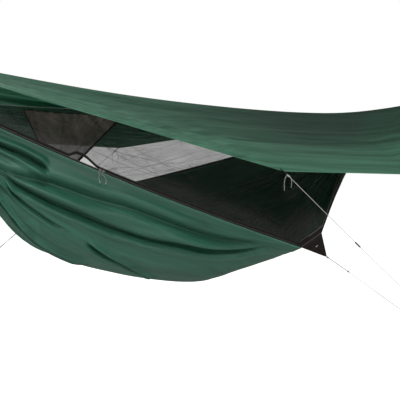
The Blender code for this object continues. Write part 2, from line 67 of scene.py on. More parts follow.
UP = vec(0, 0, 1.0)
HALF_RIDGE = 1.325
RIDGE_SAG = 0.022
HEAD_ANCHOR = vec(-1.897, 0.0, 0.349)
NEAR_SEAM_LOW = vec(0.385, -0.625, -0.742)
NEAR_SEAM_HIGH = vec(0.47, -0.69, -0.664)
NEAR_TIE = vec(0.512, -0.672, -0.79)
FAR_SEAM_LOW = vec(-0.43, 0.615, -0.5)
FAR_SEAM_HIGH = vec(-0.515, 0.68, -0.44)
FAR_TIE = vec(-0.56, 0.705, -0.56)
BODY_END = 1.27
NET_HALF = 1.262
FLY_HEAD = vec(-1.67, 0.0, 0.25)
FLY_FOOT = vec(1.67, 0.0, 0.092)
FLY_NEAR_MID = vec(0.09, -0.92, -0.35)
FLY_NEAR_FOOT = vec(1.05, -0.85, -0.365)
FLY_FAR_MID = vec(0.0, 0.87, -0.19)
FLY_FAR_HEAD = vec(-1.05, 0.85, -0.15)
FLY_RIDGE = (
    (-1.67, 0.25), (-1.03, 0.153), (-0.37, 0.073), (0.25, 0.027),
    (0.8, 0.01), (1.2, 0.026), (1.67, 0.092),
)
BOTTOM = (
    (-1.325, -0.03), (-1.25, -0.22), (-1.09, -0.46), (-0.8, -0.745), (-0.4, -0.888),
    (0.0, -0.95), (0.18, -0.905), (0.38, -0.8), (0.8, -0.51), (1.09, -0.24), (1.325, -0.02),
)
LINE_R = 0.00125
NEAR_STAKE = vec(0.72, -1.5, -1.19)
FAR_STAKE = vec(-0.86, 1.3, -1.0)
EYE = 0.045
EYE_GAP = 0.024
TAB_REACH = 0.0225
SHOCK_LENGTH = 0.16
SHOCK_R = 0.002
FLOOR = -1.215


def at(point):
    """A point of the ridge frame in the part's own frame."""
    return np.asarray(point, float) - HEAD_ANCHOR


def unit(v):
    return v / np.linalg.norm(v)


def shares(count):
    """Evenly spaced numbers from 0 to 1."""
    return np.linspace(0, 1, count)


def wave(turns):
    return np.sin(2 * np.pi * turns)


def humps(turns):
    """A row of rounded humps with sharp valleys, one to a turn."""
    return np.abs(np.sin(np.pi * turns))


# ---- camera

LENS, SENSOR = 90.0, 36.0
CAMERA_AT = (-2.52, -4.97, -0.39)
CAMERA_DIP, CAMERA_TURN = 1.16, 28.0


def show(name, data):
    """A new object, linked into the scene."""
    obj = bpy.data.objects.new(name, data)
    SCENE.collection.objects.link(obj)
    return obj


def make_camera():
    """The photograph's view: turned towards the foot end and a little downwards."""
    camera = bpy.data.cameras.new("camera")
    camera.lens = LENS
    camera.sensor_width = SENSOR
    camera.clip_end = 100.0
    SCENE.camera = show("camera", camera)
    SCENE.camera.location = at(CAMERA_AT)
    SCENE.camera.rotation_euler = (math.radians(90 - CAMERA_DIP), 0.0, -math.radians(CAMERA_TURN))


# ---- helpers

def smooth(points, per_span=8):
    """Points on a Catmull-Rom curve through the given ones."""
    given = [np.asarray(p, float) for p in points]
    last = len(given) - 1
    out = []
    for i in range(last):
        a, b, c, d = (given[min(max(i + k, 0), last)] for k in (-1, 0, 1, 2))
        for k in range(per_span):
            t = k / per_span
            square, cube = 2 * a - 5 * b + 4 * c - d, 3 * b - a - 3 * c + d
            out.append(0.5 * (2 * b + (c - a) * t + square * t * t + cube * t ** 3))
    out.append(given[-1])
    return np.array(out)


def profile(pairs, x):
    """Height at x of the smooth curve through (x, z) pairs."""
    curve = smooth(pairs, 16)
    return np.interp(x, curve[:, 0], curve[:, 1])


def link(name, data, mat, body):
    """A new object with its material, riding on a body if one is given."""
    data.materials.append(mat)
    obj = show(name, data)
    if body:
        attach(obj, body)
    return obj


def cord_curve(name, points, radius, mat, body, closed=False, sides=4):
    """A round cord through points of the ridge frame."""
    data = bpy.data.curves.new(name, "CURVE")
    data.dimensions = "3D"
    data.bevel_depth = radius
    data.bevel_resolution = sides
    data.use_fill_caps = not closed
    spline = data.splines.new("POLY")
    spline.points.add(len(points) - 1)
    for dot, point in zip(spline.points, points):
        dot.co = (*at(point), 1.0)
    spline.use_cyclic_u = closed
    spline.use_smooth = True
    return link(name, data, mat, body)


def thin_cord(name, points, radius, mats, body):
    """A grey cord that is thin enough to need fewer sides."""
    return cord_curve(name, points, radius, mats["line"], body, sides=3)


def free_cord(name, points, radius, mats, body, far_end, lay, **more):
    """A thin cord."""
    cord = thin_cord(name, points, radius, mats, body)
    return cord


# ---- guylines

def line_points(start, end, sag, count):
    """Points on a line that hangs down by sag in its middle."""
    return [start + (end - start) * a - UP * (sag * 4 * a * (1 - a)) for a in shares(count + 1)]


def guyline_route(start, stake, sag):
    """A taut line that ends in an eye, as the CAD routes it."""
    run = unit(stake - start)
    side = unit(np.cross(run, UP))
    knot = stake - run * EYE
    eye = [
        knot + run * 0.012 + side * 0.004, knot + run * 0.03 + side * 0.011,
        stake + side * 0.006, stake - side * 0.006,
        knot + run * 0.03 - side * 0.011, knot + run * 0.014 - side * 0.0045,
    ]
    route = line_points(start, knot, sag, 18)
    return route[:-1] + list(smooth([knot] + eye, 4))


def make_guylines(mat):
    """On each side one line from the tie-out's elastic and one from the fly's corner, both to the stake."""
    gap = UP * EYE_GAP / 2
    for side, tie, stake, corner in (
        ("near", NEAR_TIE, NEAR_STAKE, FLY_NEAR_MID), ("far", FAR_TIE, FAR_STAKE, FLY_FAR_MID),
    ):
        low_start = tie + unit(stake - tie) * (SHOCK_LENGTH + 0.001)
        high_start = corner + unit(stake + gap - corner) * TAB_REACH
        for kind, start, eye, sag, carried in (
            ("side", low_start, stake - gap, 0.004, []),
            ("fly", high_start, stake + gap, 0.006, [side + "_line_tensioner"]),
        ):
            name = f"{side}_{kind}_guyline"
            route = guyline_route(start, eye, sag)
            line = cord_curve(name + "_cord", route, LINE_R, mat, "suspension")
            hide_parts(name)


# ---- materials

class Nodes:
    """Short calls for building a node material."""

    def __init__(self, name, kind=bpy.data.materials, shader="Principled BSDF"):
        self.mat = kind.new(name)
        self.mat.use_nodes = True
        self.tree = self.mat.node_tree
        self.shader = self.tree.nodes[shader]

    def new(self, kind, **settings):
        node = self.tree.nodes.new(kind)
        for key, value in settings.items():
            if key in node.inputs:
                node.inputs[key].default_value = value
            else:
                setattr(node, key, value)
        return node

    def join(self, out, socket):
        """Give a socket a number, a colour or another node's output."""
        if isinstance(out, (int, float)):
            socket.default_value = out
        elif isinstance(out, tuple):
            socket.default_value = (*out, 1.0)
        else:
            self.tree.links.new(out, socket)

    def math(self, operation, a, b=0.0, c=0.0):
        node = self.new("ShaderNodeMath", operation=operation)
        for socket, value in zip(node.inputs, (a, b, c)):
            self.join(value, socket)
        return node.outputs[0]

    def add(self, a, b):
        return self.math("ADD", a, b)

    def mul(self, a, b):
        return self.math("MULTIPLY", a, b)

    def away(self, a, b):
        """How far apart two values are."""
        return self.math("ABSOLUTE", self.math("SUBTRACT", a, b))

    def axes(self, kind):
        """Coordinates and their parts: UV in metres of cloth, or Object in metres."""
        coords = self.new("ShaderNodeTexCoord")
        parts = self.new("ShaderNodeSeparateXYZ")
        self.join(coords.outputs[kind], parts.inputs[0])
        return coords.outputs[kind], parts.outputs

    def noise(self, vector, scale, detail=3.0, rough=0.55, stretch=None):
        """Noise of about 0 to 1, finer along the axes with a larger stretch."""
        if stretch is not None:
            moved = self.new("ShaderNodeMapping", Scale=stretch)
            self.join(vector, moved.inputs["Vector"])
            vector = moved.outputs[0]
        node = self.new("ShaderNodeTexNoise", Scale=scale, Detail=detail, Roughness=rough)
        self.join(vector, node.inputs["Vector"])
        return node.outputs["Fac"]

    def span(self, value, low, high, to_low=0.0, to_high=1.0):
        """A value mapped from one range to another, and kept inside it."""
        ends = {"From Min": low, "From Max": high, "To Min": to_low, "To Max": to_high}
        node = self.new("ShaderNodeMapRange", **ends)
        self.join(value, node.inputs["Value"])
        return node.outputs[0]

    def mix(self, fac, a, b, blend="MIX"):
        node = self.new("ShaderNodeMix", data_type="RGBA", blend_type=blend)
        for index, value in ((0, fac), (6, a), (7, b)):
            self.join(value, node.inputs[index])
        return node.outputs[2]

    def threads(self, value, pitch):
        """A rounded thread profile, 0 between threads and 1 on them."""
        return self.math("ABSOLUTE", self.math("SINE", self.mul(value, math.pi / pitch)))

    def finish(self, colour, rough=None, height=None, strength=0.3, distance=0.001, **plain):
        """Join what was made to the shader; plain values go to the inputs they name."""
        self.join(colour, self.shader.inputs["Base Color"])
        if rough is not None:
            self.join(rough, self.shader.inputs["Roughness"])
        if height is not None:
            bump = self.new("ShaderNodeBump", Strength=strength, Distance=distance)
            self.join(height, bump.inputs["Height"])
            self.join(bump.outputs[0], self.shader.inputs["Normal"])
        for key, value in plain.items():
            self.shader.inputs[key.replace("_", " ")].default_value = value
        return self.mat


THREAD, RIPSTOP = 0.0007, 0.0055
STITCH_IN, STITCH_HALF, STITCH_PITCH = 0.003, 0.0011, 0.0035
# Where the painted shade beside the fly's ridge lies: across the ridge and along it, in metres
RIDGE_SHADE_WIDE, RIDGE_SHADE_LONG = (0.7, 0.35), (1.3, 2.5)


def nylon(name, light, dark, translucent, hem=None, streak=(0.6, 7.0, 1.0), shine=0.5, ridge=1.0):
    """Thin woven nylon: fine threads, ripstop squares, faint streaks along the cloth, and a hem.

    ridge under 1 is for the fly: it runs the streaks along X and darkens the cloth beside the ridge with
    painted shade, more towards the foot end.
    """
    n = Nodes(name)
    vector, uv = n.axes("UV")
    grain, place = n.axes("Object") if ridge < 1.0 else (vector, uv)
    broad = n.noise(grain, 1.6, 3.0, stretch=streak)
    fine = n.noise(grain, 9.0, 4.0, stretch=streak)
    mottle = n.add(n.mul(broad, 0.6), n.mul(fine, 0.4))
    colour = n.mix(n.span(mottle, 0.36, 0.64), dark, light)
    weave = n.mul(n.threads(uv[0], THREAD), n.threads(uv[1], THREAD))
    lines = n.math("MAXIMUM", *(n.span(n.threads(u, RIPSTOP), 0.1, 0.0) for u in uv[:2]))
    colour = n.mix(n.mul(lines, 0.1), colour, light)
    if ridge < 1.0:
        # Painted shade: the cloth beside the ridge is darkened by the factor ridge, more towards the foot
        # end
        away = n.add(n.math("ABSOLUTE", place[1]), n.mul(broad, 0.3))
        inner = n.mul(n.span(away, *RIDGE_SHADE_WIDE), n.span(place[0], *RIDGE_SHADE_LONG))
        colour = n.mix(inner, colour, n.mix(1.0, colour, (ridge,) * 3, "MULTIPLY"))
    crinkle = n.noise(vector, 26.0, 5.0, 0.6, stretch=(0.5, 1.6, 1.0))
    height = n.add(n.mul(weave, 0.1), n.mul(lines, 0.12))
    height = n.add(height, n.mul(crinkle, 1.8))
    if hem is not None:
        edge, width, tint = hem
        lap = n.span(uv[1], width, width * 0.94)
        rows = [n.span(n.away(uv[1], v), STITCH_HALF, 0.0) for v in (STITCH_IN, width - STITCH_IN)]
        gaps = n.span(n.threads(uv[0], STITCH_PITCH), 0.25, 0.5)
        stitch = n.mul(n.math("MAXIMUM", *rows), gaps)
        colour = n.mix(n.mul(lap, edge), colour, tint)
        colour = n.mix(n.mul(stitch, 0.7), colour, dark)
        pucker = n.mul(lap, n.noise(vector, 60.0, 2.0, stretch=(2.0, 0.2, 1.0)))
        height = n.add(height, n.mul(lap, 0.5))
        height = n.add(height, n.mul(pucker, 1.2))
        height = n.math("SUBTRACT", height, n.mul(stitch, 0.5))
    rough = n.span(fine, 0.3, 0.7, shine, shine + 0.16)
    mat = n.finish(
        colour, rough, height, 0.35, 0.0018, Sheen_Weight=0.03, Sheen_Roughness=0.5, Specular_IOR_Level=0.36,
    )
    if translucent:
        through = n.new("ShaderNodeBsdfTranslucent")
        n.join(n.mix(1.0, colour, (0.45, 2.6, 1.7), "MULTIPLY"), through.inputs["Color"])
        mixed = n.new("ShaderNodeMixShader")
        for socket, value in zip(mixed.inputs, (translucent, n.shader.outputs[0], through.outputs[0])):
            n.join(value, socket)
        n.join(mixed.outputs[0], n.tree.nodes["Material Output"].inputs["Surface"])
    return mat


CREASE_HALF = 0.0042


def netting(name, pitch, cover_gap, cover_thread, tone, low, creases=()):
    """Fine insect net: knitted threads with clearer gaps between them.

    cover_gap and cover_thread are the opacity of a gap and of a thread. Each crease is a faint line
    (level, slope, bend, gain): its v at u = 0, its slope, how far it wanders and how much it covers.
    """
    n = Nodes(name)
    vector, uv = n.axes("UV")
    skew = n.add(uv[0], n.mul(uv[1], 0.5))
    rows = n.threads(uv[1], pitch)
    columns = n.threads(skew, pitch)
    open_share = n.mul(n.span(rows, 0.25, 0.6), n.span(columns, 0.25, 0.6))
    crumple = n.noise(vector, 7.0, 4.0, 0.6, stretch=(0.6, 1.5, 1.0))
    fuzz = n.span(crumple, 0.3, 0.7, -0.05, 0.05)
    wrinkle = n.noise(vector, 3.2, 2.0, 0.5, stretch=(0.7, 1.6, 1.0))
    wrinkle = n.span(n.away(wrinkle, 0.5), 0.008, 0.0, 0.0, 0.11)
    cover = n.add(n.span(open_share, 0.0, 1.0, cover_thread, cover_gap), fuzz)
    cover = n.add(cover, wrinkle)
    for level, slope, bend, gain in creases:
        bent = n.math("MULTIPLY_ADD", n.noise(vector, 2.4, 1.0, 0.4), bend, level)
        route = n.math("MULTIPLY_ADD", uv[0], slope, bent)
        off = n.away(uv[1], route)
        cover = n.add(cover, n.span(off, CREASE_HALF, 0.0, 0.0, gain))
    cover = n.math("MINIMUM", cover, 1.0)
    colour = n.mix(n.span(crumple, 0.3, 0.7), low, tone)
    n.join(cover, n.shader.inputs["Alpha"])
    height = n.add(open_share, n.mul(crumple, 3.0))
    return n.finish(colour, None, height, 0.3, 0.001, Roughness=0.75, Sheen_Weight=0.2, Sheen_Roughness=0.5)


def webbing(name, colour_a, colour_b, pitch=0.0016):
    """Woven strap or binding with coarse crossing ribs."""
    n = Nodes(name)
    vector, (x, y, z) = n.axes("Object")
    ribs = n.threads(n.add(x, z), pitch)
    cross = n.threads(n.math("SUBTRACT", y, z), pitch * 2)
    colour = n.mix(n.span(n.noise(vector, 60.0), 0.3, 0.7), colour_a, colour_b)
    height = n.add(ribs, n.mul(cross, 0.6))
    return n.finish(colour, None, height, 0.5, 0.0006, Roughness=0.82, Specular_IOR_Level=0.2)


def braid(name, colour_a, colour_b, pitch):
    """Braided cord: two spirals of strands crossing."""
    n = Nodes(name)
    vector, (x, y, z) = n.axes("Object")
    flat = n.add(x, y)
    one = n.threads(n.add(flat, z), pitch)
    other = n.threads(n.math("SUBTRACT", flat, z), pitch)
    strands = n.mul(one, other)
    fleck = n.span(n.noise(vector, 220.0, 2.0), 0.35, 0.65)
    colour = n.mix(n.mul(fleck, strands), colour_a, colour_b)
    return n.finish(colour, None, strands, 0.6, 0.0005, Roughness=0.7, Sheen_Weight=0.2)


def alloy(name, tone, rough):
    """Satin metal with fine brushing and handling marks."""
    n = Nodes(name)
    vector, _ = n.axes("Object")
    brushed = n.noise(vector, 90.0, 4.0, stretch=(1.0, 1.0, 12.0))
    marks = n.noise(vector, 25.0, 5.0, 0.65)
    colour = n.mix(n.span(marks, 0.35, 0.7), tuple(c * 0.82 for c in tone), tone)
    shine = n.span(n.add(brushed, marks), 0.7, 1.3, rough - 0.08, rough + 0.12)
    return n.finish(colour, shine, brushed, 0.15, 0.0003, Metallic=1.0)


def moulded(name, tone, rough):
    """Moulded plastic with a fine grain."""
    n = Nodes(name)
    vector, _ = n.axes("Object")
    grain = n.noise(vector, 700.0, 3.0)
    tint = n.noise(vector, 60.0, 3.0)
    colour = n.mix(n.span(tint, 0.3, 0.7), tone, tuple(c * 1.5 + 0.004 for c in tone))
    return n.finish(colour, n.span(tint, 0.3, 0.7, rough, rough + 0.12), grain, 0.25, 0.0003)


def stitched(name, colour_a, colour_b, thread, lines, pitch=0.0012):
    """Webbing or tape with rows of stitching at the given distances from its first edge."""
    n = Nodes(name)
    vector, uv = n.axes("UV")
    ribs = n.mul(n.threads(uv[0], pitch), n.threads(uv[1], pitch * 1.6))
    colour = n.mix(n.span(n.noise(vector, 45.0), 0.3, 0.7), colour_a, colour_b)
    stitch = 0.0
    for line in lines:
        row = n.span(n.away(uv[1], line), 0.0014, 0.0004)
        stitch = n.math("MAXIMUM", row, stitch)
    stitch = n.mul(stitch, n.span(n.threads(uv[0], 0.0036), 0.15, 0.4))
    colour = n.mix(stitch, colour, thread)
    height = n.add(n.mul(ribs, 0.6), n.mul(stitch, 1.2))
    return n.finish(colour, None, height, 0.5, 0.0007, Roughness=0.85, Specular_IOR_Level=0.12)


def make_materials():
    dark, darker = (0.007, 0.0055, 0.005), (0.016, 0.012, 0.01)
    body = (0.018, 0.094, 0.056), (0.005, 0.046, 0.026)
    body_hem = (0.75, 0.012, (0.06, 0.16, 0.11))
    fly = (0.058, 0.132, 0.09), (0.022, 0.064, 0.042)
    fly_hem = (0.8, 0.014, (0.1, 0.19, 0.14))
    net_creases = (
        (0.03, 0.05, 0.08, 0.3), (0.28, -0.16, 0.1, 0.26),
        (0.02, 0.13, 0.12, 0.24), (0.4, -0.2, 0.16, 0.22),
    )
    return {
        "body": nylon("green_nylon", *body, 0.03, body_hem, shine=0.46),
        # ridge=0.42 paints shade on the fly beside its ridge
        "fly": nylon("fly_nylon", *fly, 0.22, fly_hem, streak=(0.4, 11.0, 1.0), ridge=0.42),
        "bunch": nylon("bunched_nylon", *body, 0.0),
        "net": netting(
            "black_net", 0.0021, 0.32, 0.62, (0.036, 0.031, 0.028), (0.012, 0.01, 0.009), net_creases,
        ),
        "pocket": netting("pocket_net", 0.003, 0.34, 0.9, (0.8, 0.58, 0.5), (0.16, 0.11, 0.1)),
        "binding": webbing("edge_binding", (0.045, 0.135, 0.09), (0.075, 0.185, 0.13), 0.0012),
        "black": webbing("black_webbing", dark, darker),
        "patch": stitched("patch_webbing", dark, darker, (0.035, 0.031, 0.028), (0.004, 0.012, 0.055)),
        "hem": stitched("net_hem", dark, darker, (0.17, 0.165, 0.16), (0.004, 0.038)),
        "tape": stitched(
            "zip_tape", (0.006, 0.005, 0.0045), (0.013, 0.011, 0.01), (0.05,) * 3, (0.002, 0.014),
            0.0008,
        ),
        "seam": webbing("net_seam", (0.1, 0.1, 0.095), (0.17, 0.17, 0.16), 0.0008),
        "tack": webbing("bar_tack", (0.4, 0.4, 0.38), (0.6, 0.6, 0.58), 0.0008),
        "line": braid("grey_line", (0.24, 0.25, 0.24), (0.5, 0.51, 0.49), 0.0016),
        "rope": braid("black_rope", (0.02,) * 3, (0.07,) * 3, 0.003),
        "metal": alloy("grey_alloy", (0.52, 0.53, 0.55), 0.3),
        "zip_metal": alloy("zip_metal", (0.2, 0.2, 0.21), 0.35),
        "plastic": moulded("black_plastic", (0.018,) * 3, 0.42),
        "coil": moulded("zip_coil", (0.02,) * 3, 0.36),
    }


# ---- cloth grids

def grid_mesh(name, rows, uvs, mat, body):
    """A smooth sheet from a grid of points of the ridge frame, with UV in metres of cloth."""
    rows = np.asarray(rows, float)
    uvs = np.asarray(uvs, float)
    n, m = rows.shape[:2]
    index = np.arange(n * m).reshape(n, m)
    corners = index[:-1, :-1], index[:-1, 1:], index[1:, 1:], index[1:, :-1]
    quads = np.stack(corners, -1).reshape(-1, 4)
    mesh = bpy.data.meshes.new(name)
    mesh.from_pydata((rows.reshape(-1, 3) - HEAD_ANCHOR).tolist(), [], quads.tolist())
    layer = mesh.uv_layers.new(name="cloth")
    layer.data.foreach_set("uv", uvs.reshape(-1, 2)[quads.reshape(-1)].astype(np.float32).ravel())
    mesh.polygons.foreach_set("use_smooth", np.ones(len(quads), bool))
    mesh.update()
    return link(name, mesh, mat, body)


def cloth_uv(rows, from_middle=False):
    """Distances over the cloth: u along the first column, v across from it or from the nearer edge."""
    rows = np.asarray(rows, float)
    steps = np.linalg.norm(np.diff(rows[:, 0], axis=0), axis=1)
    along = np.concatenate([[0.0], np.cumsum(steps)])
    across = np.linalg.norm(np.diff(rows, axis=1), axis=2)
    across = np.concatenate([np.zeros((len(rows), 1)), np.cumsum(across, axis=1)], axis=1)
    if from_middle:
        across = np.minimum(across, across[:, -1:] - across)
    return np.stack([np.broadcast_to(along[:, None], across.shape), across], -1)


def normals_of(rows):
    cross = np.cross(np.gradient(rows, axis=0), np.gradient(rows, axis=1))
    return cross / np.maximum(np.linalg.norm(cross, axis=-1, keepdims=True), 1e-9)


def ease(value, low, high):
    """0 below low, 1 above high, and smooth between."""
    t = np.clip((np.asarray(value, float) - low) / (high - low), 0, 1)
    return t * t * (3 - 2 * t)


def ripple(a, b, seed):
    """Smooth pseudo-random waves over two coordinates, about -1 to 1."""
    count, low, high = 7, 1.0, 3.0
    rng = np.random.default_rng(seed)
    total = 0
    for _ in range(count):
        angle = rng.uniform(0, 2 * np.pi)
        turns = rng.uniform(low, high)
        phase = rng.uniform(0, 2 * np.pi)
        total = total + np.sin(2 * np.pi * turns * (a * np.cos(angle) + b * np.sin(angle)) + phase)
    return total / count * 1.6


# ---- shapes of the hammock

def bowed(start, end, bow, x):
    """The point at x on a line between two points, moved by bow in its middle."""
    a = (x - start[0]) / (end[0] - start[0])
    return start + (end - start) * a + np.asarray(bow) * (4 * a * (1 - a))


HEAD_END, FOOT_END = vec(-HALF_RIDGE, 0, 0), vec(HALF_RIDGE, 0, 0)
PULL, PULL_REACH = 0.42, 0.38
FOLD_GAIN = 2.2


def near_edge(x):
    """The near edge of the cloth: two bowed runs that meet at the tie-out's short seam."""
    if x <= NEAR_SEAM_LOW[0]:
        return bowed(HEAD_END, NEAR_SEAM_LOW, (0, 0.012, -0.03), x)
    if x <= NEAR_SEAM_HIGH[0]:
        return bowed(NEAR_SEAM_LOW, NEAR_SEAM_HIGH, (0, 0, 0), x)
    return bowed(NEAR_SEAM_HIGH, FOOT_END, (0, 0.02, 0.004), x)


def far_edge(x):
    """The far edge, like the near one turned round."""
    if x >= FAR_SEAM_LOW[0]:
        return bowed(FOOT_END, FAR_SEAM_LOW, (0, -0.015, -0.022), x)
    if x >= FAR_SEAM_HIGH[0]:
        return bowed(FAR_SEAM_LOW, FAR_SEAM_HIGH, (0, 0, 0), x)
    return bowed(FAR_SEAM_HIGH, HEAD_END, (0, -0.02, 0.004), x)


def pulled(x, tie_x):
    """How far the tie-out draws the side of the cloth inwards and flat."""
    return PULL * math.exp(-(((x - tie_x) / PULL_REACH) ** 2))


def body_row(x, v):
    """One section of the cloth: a Bezier curve from the near edge (v = 0) under to the far edge (v = 1)."""
    near, far = near_edge(x), far_edge(x)
    deep = (profile(BOTTOM, x) - (near[2] + far[2]) / 8) * 4 / 3
    spread = 0.05 * min(1.0, (HALF_RIDGE - abs(x)) / 0.6)
    side_near = vec(x, near[1] - spread + pulled(x, NEAR_SEAM_HIGH[0]), deep)
    side_far = vec(x, far[1] + spread - pulled(x, FAR_SEAM_HIGH[0]), deep)
    w = (1 - v)[:, None]
    v = v[:, None]
    return w ** 3 * near + 3 * w * w * v * side_near + 3 * w * v * v * side_far + v ** 3 * far


def ridge_z(x):
    return -RIDGE_SAG * (1 - (x / HALF_RIDGE) ** 2)


# Creases of the cloth: (x, v) route, half width in v, depth, and how far it fades at its ends
CREASES = (
    (((-1.26, 0.085), (-1.05, 0.062), (-0.96, 0.052), (-0.87, 0.055), (-0.83, 0.06)), 0.01, 0.024, 0.03),
    (
        ((-1.26, 0.19), (-1.05, 0.165), (-0.95, 0.13), (-0.81, 0.095), (-0.58, 0.085), (-0.43, 0.076),
         (-0.05, 0.08), (0.2, 0.05), (0.33, 0.02)), 0.016, 0.016, 0.2,
    ),
    (
        ((-1.26, 0.235), (-1.05, 0.195), (-0.9, 0.165), (-0.7, 0.158), (-0.5, 0.17), (-0.36, 0.17),
         (-0.2, 0.152), (-0.06, 0.138), (0.15, 0.095), (0.3, 0.05)), 0.014, 0.02, 0.16,
    ),
    (((-1.26, 0.245), (-1.05, 0.212), (-0.97, 0.236), (-0.85, 0.24), (-0.7, 0.25)), 0.01, 0.01, 0.12),
    (
        ((-1.24, 0.3), (-1.04, 0.35), (-0.96, 0.39), (-0.87, 0.425), (-0.7, 0.44), (-0.55, 0.455)),
        0.013, 0.022, 0.1,
    ),
    (((-0.64, 0.27), (-0.54, 0.3), (-0.44, 0.335), (-0.32, 0.38), (-0.2, 0.435)), 0.01, 0.018, 0.06),
    (((1.2, 0.3), (0.95, 0.26), (0.7, 0.17), (0.52, 0.06)), 0.016, 0.012, 0.12),
    (((1.2, 0.46), (0.8, 0.44), (0.4, 0.42), (0.05, 0.45)), 0.018, 0.012, 0.2),
    (((1.22, 0.62), (0.8, 0.66), (0.3, 0.72), (-0.2, 0.8), (-0.44, 0.93)), 0.018, 0.018, 0.15),
    (((1.22, 0.78), (0.8, 0.84), (0.3, 0.88), (-0.2, 0.92)), 0.014, 0.016, 0.15),
    (((-1.22, 0.55), (-0.9, 0.6), (-0.6, 0.68), (-0.5, 0.86)), 0.014, 0.016, 0.12),
    (((-1.22, 0.74), (-0.95, 0.8), (-0.7, 0.9), (-0.56, 0.96)), 0.012, 0.014, 0.08),
)


def crease_field(x, v, route, half, depth, fade):
    """One crease: a sharp valley with a soft roll of cloth on each side."""
    curve = smooth(sorted(route), 12)
    centre = np.interp(x, curve[:, 0], curve[:, 1])
    low, high = curve[0, 0], curve[-1, 0]
    strength = ease(x, low - fade * 0.2, low + fade) * (1 - ease(x, high - fade, high + fade * 0.2))
    d = (v - centre) / half
    valley = -np.exp(-np.abs(d) ** 1.2)
    rolls = 0.5 * np.exp(-((d - 1.9) / 1.1) ** 2) + 0.62 * np.exp(-((d + 2.0) / 1.2) ** 2)
    return FOLD_GAIN * depth * strength * (valley + rolls)


def body_folds(x, v):
    """How far the folds move the cloth outwards."""
    end = np.clip((HALF_RIDGE - np.abs(x)) / 0.9, 0, 1)
    side = np.where(x < 0, 0.0, 0.37)
    wander = v + 0.02 * np.sin(2.2 * x + 5 * v) + side
    pleats = humps(11 * wander + 0.25 * np.sin(9 * v)) ** 0.7 - 0.6
    fine = humps(23 * wander + 0.3 * np.sin(14 * v + x)) ** 0.8 - 0.6
    total = pleats * 0.016 * (1 - end) ** 1.6 + fine * 0.01 * (1 - end) ** 2.4
    total += 0.0042 * wave(4.3 * v + 0.25 * x + 0.1) * ease(end, 0.0, 0.4)
    total += 0.0016 * ripple(x * 1.1, v * 9, 4) * ease(end, 0.0, 0.3)
    for route, half, depth, fade in CREASES:
        total = total + crease_field(x, v, route, half, depth, fade)
    return total * ease(v, 0.0, 0.02) * ease(1 - v, 0.0, 0.02)


def gather_ring(v):
    """The cloth bunched round the gather's axis: v = 0 to 1 goes from the near top under to the far top."""
    radius, flutes, depth = 0.021, 15, 0.01
    angle = np.pi * (0.62 + 1.76 * v)
    r = radius + depth * (np.abs(np.sin(np.pi * flutes * v)) - 0.5)
    return r * np.cos(angle), r * np.sin(angle)


def make_body(mat):
    end, close = 1.298, 1.02
    xs = np.concatenate([
        np.linspace(-end, -close, 56)[:-1], np.linspace(-close, close, 270), np.linspace(close, end, 56)[1:],
    ])
    v = shares(225)
    rows = np.array([body_row(float(np.clip(x, -1.296, 1.296)), v) for x in xs])
    grids = np.meshgrid(xs, v, indexing="ij")
    rows = rows - normals_of(rows) * body_folds(*grids)[..., None]
    ring_y, ring_z = gather_ring(v)
    for i, x in enumerate(xs):
        t = float(ease(abs(x), 1.1, 1.297)) ** 1.3
        ring = np.stack([np.full_like(v, x), ring_y, ring_z], -1)
        rows[i] = rows[i] * (1 - t) + ring * t
    uv = cloth_uv(rows, from_middle=True)
    body = grid_mesh("hammock_cloth", rows, uv, mat, "hammock")
    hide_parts("hammock_body")


# ---- insect net

NEAR_LIFT, FAR_LIFT, ZIP_OPEN = 0.021, 0.008, 0.032


def net_lift(x, side):
    """Height of the net's hem over the cloth's edge: the zip is a little open beside its sliders."""
    lift = (NEAR_LIFT if side < 0 else FAR_LIFT) * min(1.0, (HALF_RIDGE + 0.08 - abs(x)) / 0.25)
    if side < 0:
        lift += ZIP_OPEN * ease(x, -0.745, -0.69) * (1 - ease(x, -0.67, -0.585))
    return lift


def net_low(x, side):
    edge = near_edge(x) if side < 0 else far_edge(x)
    return edge + UP * net_lift(x, side)


def make_net(name, side, mat):
    xs = np.linspace(-NET_HALF, NET_HALF, 300)
    k = shares(70)
    rows = []
    for x in xs:
        low = net_low(x, side)
        top = vec(x, side * 0.012, ridge_z(x) - 0.004)
        low[1] = side * max(low[1] * side, 0.013)
        low[2] = min(low[2], top[2] - 0.008)
        sag = 0.04 * (top[2] - low[2]) * 4 * k * (1 - k)
        rows.append(low + (top - low) * k[:, None] - np.stack([0 * k, 0 * k, sag], -1))
    rows = np.array(rows)
    x, kk = np.meshgrid(xs, k, indexing="ij")
    middle = 4 * kk * (1 - kk)
    folds = 0.007 * middle * wave(1.7 * kk + 0.9 * x * side) ** 3
    folds += 0.004 * middle * ripple(x * 1.2, kk * 1.5, 11 if side < 0 else 23)
    folds += 0.006 * middle * np.exp(-((kk - 0.35 - 0.25 * side * x) / 0.035) ** 2)
    rows = rows + normals_of(rows) * folds[..., None]
    net = grid_mesh(name + "_mesh", rows, cloth_uv(rows), mat, "hammock")
    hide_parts(name)


# ---- rain fly

def fly_edge(x, side):
    """The fly's edge at x: slightly hollow runs between its tips and corners."""
    corners = (FLY_NEAR_MID, FLY_NEAR_FOOT) if side < 0 else (FLY_FAR_HEAD, FLY_FAR_MID)
    marks = (FLY_HEAD, *corners, FLY_FOOT)
    for a, b in zip(marks, marks[1:]):
        if x <= b[0] + 1e-9:
            return bowed(a, b, (0, -side * 0.018 * (b[0] - a[0]), 0), x)
    return marks[-1]


